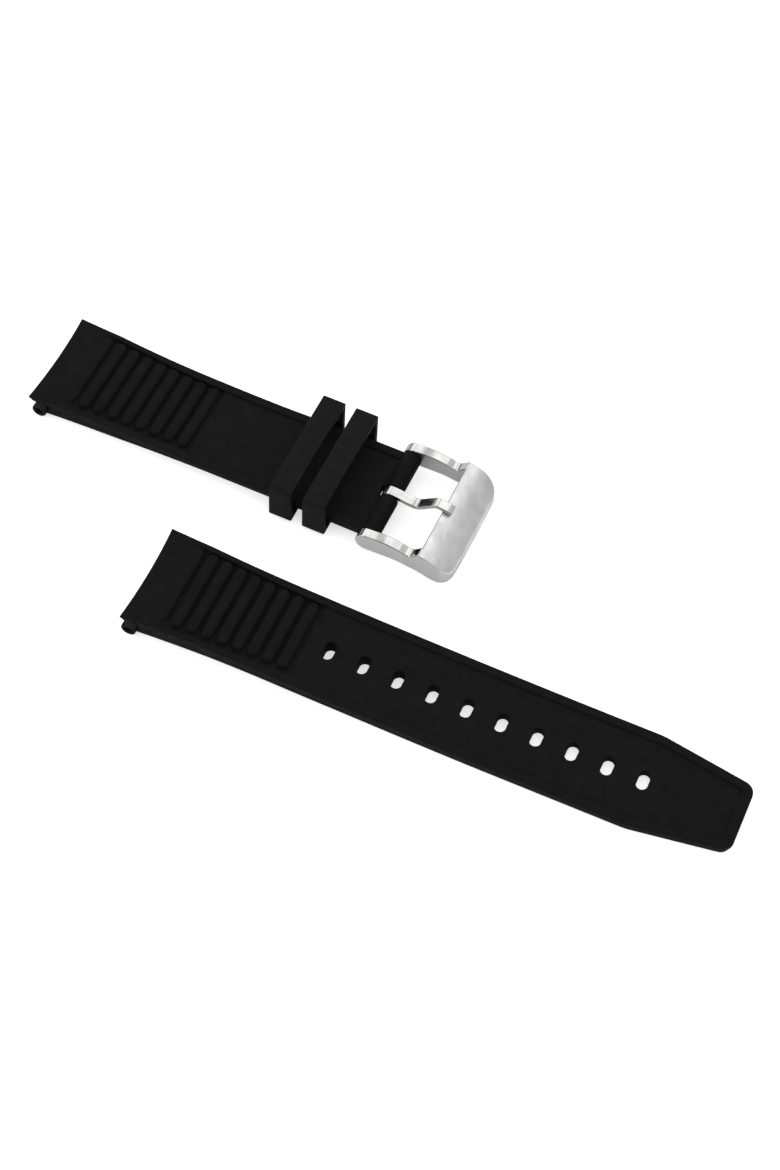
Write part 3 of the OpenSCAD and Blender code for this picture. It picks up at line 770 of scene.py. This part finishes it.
def follow_curves(piece, side_lines, plan_line=None):
    """Lets light turn on each broad face as its drawn curve does, and not from facet to facet."""
    square_on, edge_on, on_line, steep = 0.99, 0.02, 0.012, 0.3
    mesh = piece.data
    turned = [None] * len(mesh.loops)
    at_vertex = {}
    for face in mesh.polygons:
        n, c = face.normal, face.center
        line, flat = None, abs(n.y) > square_on or (abs(n.y) < edge_on and n.x < -square_on)
        if not flat and abs(n.y) < edge_on:
            line = next((s for s in side_lines if nearest_on(s, c.x, c.z)[0] < on_line), None)
            flat = line is None and abs(n.x) > steep
        elif not flat and plan_line and abs(n.z) < edge_on:
            line = plan_line
        if not (flat or line):
            continue
        for corner in face.loop_indices:
            v = mesh.vertices[mesh.loops[corner].vertex_index]
            way = n.copy()
            if line:
                a, b = nearest_on(line, v.co.x, v.co.y if line is plan_line else v.co.z)[1]
                way = Vector((a, b, 0) if line is plan_line else (a, 0, b))
                way = way if way.dot(n) > 0 else -way
            turned[corner] = way.normalized()
            at_vertex.setdefault(v.index, []).append(turned[corner])
    for face in mesh.polygons:
        for corner in face.loop_indices:
            if turned[corner] is None:
                index = mesh.loops[corner].vertex_index
                choices = at_vertex.get(index, [mesh.vertices[index].normal])
                turned[corner] = max(choices, key=face.normal.dot)
    mesh.shade_smooth()
    mesh.normals_split_custom_set([tuple(w) for w in turned])


def worked_steel(name, color, rough, stretch, line, wave, lobe, patch=0.05):
    """Stainless steel: lines of the given depth along a direction, over soft waves left by the wheel.
    The waves are lobe millimetres wide, and its tone goes down by patch, in clouds."""
    surface = bpy.data.materials.new(name)
    surface.use_nodes = True
    tree = surface.node_tree
    shader = tree.nodes["Principled BSDF"]
    shader.inputs["Metallic"].default_value = 1.0
    line_width, clouds = 0.08, 0.75
    lines = noise(tree, line_width, stretch, detail=3.0)
    cloudy = add(tree, "Mix")                                # 2 and 3 are its two values
    cloudy.inputs[0].default_value = clouds
    wire(tree, lines, cloudy.inputs[2])
    wire(tree, noise(tree, lobe, (1, 0.6, 1)), cloudy.inputs[3])
    wire(tree, shade_between(tree, cloudy.outputs[0], [c * (1 - patch) for c in color], color),
         shader.inputs["Base Color"])
    wire(tree, between(tree, noise(tree, lobe), *rough), shader.inputs["Roughness"])
    soft = relief(tree, noise(tree, lobe, detail=1.0), wave)
    wire(tree, relief(tree, lines, line, soft), shader.inputs["Normal"])
    return surface


polished = worked_steel("polished_steel", (0.58, 0.58, 0.575), (0.13, 0.2), (1, 0.2, 1),
                        line=0.00002, wave=0.004, lobe=1.6, patch=0.3)
satin = worked_steel("satin_steel", (0.84, 0.84, 0.84), (0.28, 0.38), (1, 0.04, 1),
                     line=0.0006, wave=0.14, lobe=2.6, patch=0.24)
brushed = worked_steel("brushed_steel", (0.56, 0.56, 0.56), (0.3, 0.36), (0.04, 1, 1),
                       line=0.0005, wave=0.002, lobe=2.0)

nose_x = window_l + front_l
arm_top = smooth_line([(0, arm_r), (2.2, arm_r + 0.2), (window_l * 0.41, arm_r + 0.15),
                       (window_l * 0.62, arm_r - 0.25), (window_l * 0.78, dip_z),
                       (window_l * 0.87, dip_z + 0.25), (window_l - 0.1, crest_z)], 12)
front_top = smooth_line([(window_l + 0.1, crest_z), (window_l + front_l * 0.37, crest_z - 0.9),
                         (window_l + front_l * 0.64, crest_z - 2.25), (nose_x - 0.5, crest_z - 4.1),
                         (nose_x, crest_z - 5.1)], 12)
underside = smooth_line([(nose_x - 0.35, -curl_z + 0.45), (nose_x - 1.3, -curl_z),
                         (window_l + front_l * 0.4, -curl_z + 0.25), (window_l + 0.5, -curl_z + 1),
                         (window_l * 0.8, -arm_r - 0.15), (window_l * 0.55, -arm_r + 0.2), (0, -arm_r)], 6)
arm_end = circle_of(0, 0, arm_r, 32, 270, -180)
side_view = arm_top + front_top + underside + arm_end[1:-1]
frame_piece = drawn_bar("buckle_frame_steel", list(reversed(side_view)), buckle_w / 2 + 1, 0.0)


def plan_outline():
    """The frame's outline from above, from one side round the bowed front to the other."""
    bulge = ((buckle_w / 2) ** 2 + front_bulge ** 2) / (2 * front_bulge)
    corner_y = buckle_w / 2 - front_r
    corner_x = nose_x - bulge + math.sqrt((bulge - front_r) ** 2 - corner_y ** 2)
    meet = math.asin(corner_y / (bulge - front_r))
    side = [(corner_x + front_r * math.cos(a), corner_y + front_r * math.sin(a))
            for a in (meet + (math.pi / 2 - meet) * k / 16 for k in range(17))]
    bow = [(nose_x - bulge + bulge * math.cos(a), bulge * math.sin(a))
           for a in (-meet + 2 * meet * k / 24 for k in range(1, 24))]
    return [(x, -y) for x, y in reversed(side)] + bow + side


def plan_cutter(nose_line):
    """A tall block with the frame's outline from above, to crop the drawn bar with."""
    plan = nose_line + [(-arm_r - 1, buckle_w / 2), (-arm_r - 1, -buckle_w / 2)]
    tall = 8
    mesh = bmesh.new()
    return skinned("plan", mesh, [[mesh.verts.new((x, y, z)) for x, y in plan] for z in (-tall, tall)])


nose_line = plan_outline()
join(frame_piece, plan_cutter(nose_line), "INTERSECT")
window = box_cutter("window", (-arm_r - 2, window_l), (-window_half_w, window_half_w), (-9, 9))
join(frame_piece, window, "DIFFERENCE")
pin_room = [(pin_hole_r, -pin_hole_half), (pin_hole_r, pin_hole_half)]
join(frame_piece, turned_along_y("pin_room", 0, 0, pin_room, 32), "DIFFERENCE")
soften(frame_piece, width=0.2, steps=3, angle=32)
dress(frame_piece, "buckle_frame", "buckle", polished)
follow_curves(frame_piece, (arm_top, front_top, underside, arm_end), nose_line)
frame_piece.data.materials.append(satin)
frame_piece.data.materials.append(brushed)
satin_at, brushed_at = 1, 2
side_on, upright, upward = 0.9, 0.02, 0.05
for face in frame_piece.data.polygons:
    if abs(face.normal.y) > side_on or (abs(face.normal.z) < upright and face.center.x > window_l + 1):
        face.material_index = brushed_at
    elif face.center.x > window_l + 0.15 and face.normal.z > upward:
        face.material_index = satin_at


def place_on_bar(piece):
    """Moves a piece, drawn in millimetres about the bar, to its place in the layout, in metres."""
    for v in piece.data.vertices:
        v.co = ((v.co.x + bar_x - layout_x) * mm, (v.co.y - layout_y) * mm, (v.co.z + bar_z) * mm)


place_on_bar(frame_piece)

# The tang. A strip of polished steel rolled round the bar at one end, bent down into the window
# and up again, so that its tip rests on the front bar.
tang_w, tang_t, eye_r, tang_rest = 2.1, 0.9, 0.95, 0.05
tang_mid = eye_r + tang_t / 2
tang_top = crest_z + tang_rest + tang_t / 2
tang_line = smooth_line([(0, tang_mid), (window_l * 0.14, tang_mid - 0.15),
                         (window_l * 0.38, tang_mid - 0.65), (window_l * 0.54, tang_mid - 0.5),
                         (window_l * 0.72, tang_top - 0.95), (window_l * 0.86, tang_top + 0.15),
                         (window_l * 0.98, tang_top + 0.12), (window_l + front_l * 0.14, tang_top - 0.12),
                         (window_l + front_l * 0.28, tang_top - 0.5)], 10)


def offset_line(line, d):
    """The line moved across itself by d."""
    shifted = []
    for i, p in enumerate(line):
        a, b = line[max(0, i - 1)], line[min(len(line) - 1, i + 1)]
        n = Vector((a[1] - b[1], b[0] - a[0])).normalized()
        shifted.append((p[0] + n.x * d, p[1] + n.y * d))
    return shifted


blade_top, blade_back = offset_line(tang_line, tang_t / 2), offset_line(tang_line, -tang_t / 2)
tang = drawn_bar("tang_steel", blade_back + list(reversed(blade_top)), tang_w / 2, 0.0)
eye = circle_of(0, 0, eye_r + tang_t, 48)
join(tang, drawn_bar("eye", eye, tang_w / 2, 0.0), "UNION")
join(tang, turned_along_y("eye_hole", 0, 0, [(eye_r, -3), (eye_r, 3)], 40), "DIFFERENCE")
soften(tang, width=0.12, steps=3, angle=32)
dress(tang, "buckle_tang", "tang", polished)
follow_curves(tang, (blade_top, blade_back, eye + [(eye_r + tang_t, 0)]))
place_on_bar(tang)

# The spring bar. A drawn steel tube inside the end roll, with a coil spring between two turned
# pins that stand in the arms. Little of it shows.
drawn = worked_steel("drawn_steel", (0.5, 0.5, 0.5), (0.22, 0.3), (1, 0.02, 1),
                     line=0.0004, wave=0.001, lobe=1.5)
turned = worked_steel("turned_steel", (0.58, 0.58, 0.58), (0.16, 0.24), (1, 8, 1),
                      line=0.0003, wave=0.0, lobe=0.8)
for name, surface in (("bar_tube", drawn), ("near_pin", turned), ("far_pin", turned)):
    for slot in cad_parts[name].material_slots:
        slot.material = surface

# The bar's spring. One coil of bright hard wire between the two plungers, made as two halves
# that meet at the bar's middle, each a mesh of its own.
wound = worked_steel("wound_wire", (0.45, 0.45, 0.45), (0.2, 0.3), (1, 1, 1),
                     line=0.0003, wave=0.0, lobe=0.5)
coil_r, wire_r, coil_half, half_curls, pin_travel = 0.49, 0.11, 7.69, 7, 0.9


def half_coil(name, side):
    """The coil from the bar's middle to one plunger."""
    around_coil, around_wire = 16, 8
    steps = half_curls * around_coil
    mesh = bmesh.new()
    loops = []
    for i in range(steps + 1):
        a, y = 2 * math.pi * i / around_coil, side * coil_half * i / steps
        loop = []
        for k in range(around_wire):
            b = 2 * math.pi * k / around_wire
            r = coil_r + wire_r * math.cos(b)
            loop.append(mesh.verts.new(((bar_x - layout_x + r * math.cos(a)) * mm,
                                        (y + wire_r * math.sin(b) - layout_y) * mm,
                                        (bar_z + side * r * math.sin(a)) * mm)))
        loops.append(loop)
    coil = skinned(name, mesh, loops)
    dress(coil, "bar_spring", "buckle_half", wound)
    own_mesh(coil)


half_coil("spring_near_half", -1)
half_coil("spring_far_half", 1)

bpy.context.view_layer.update()
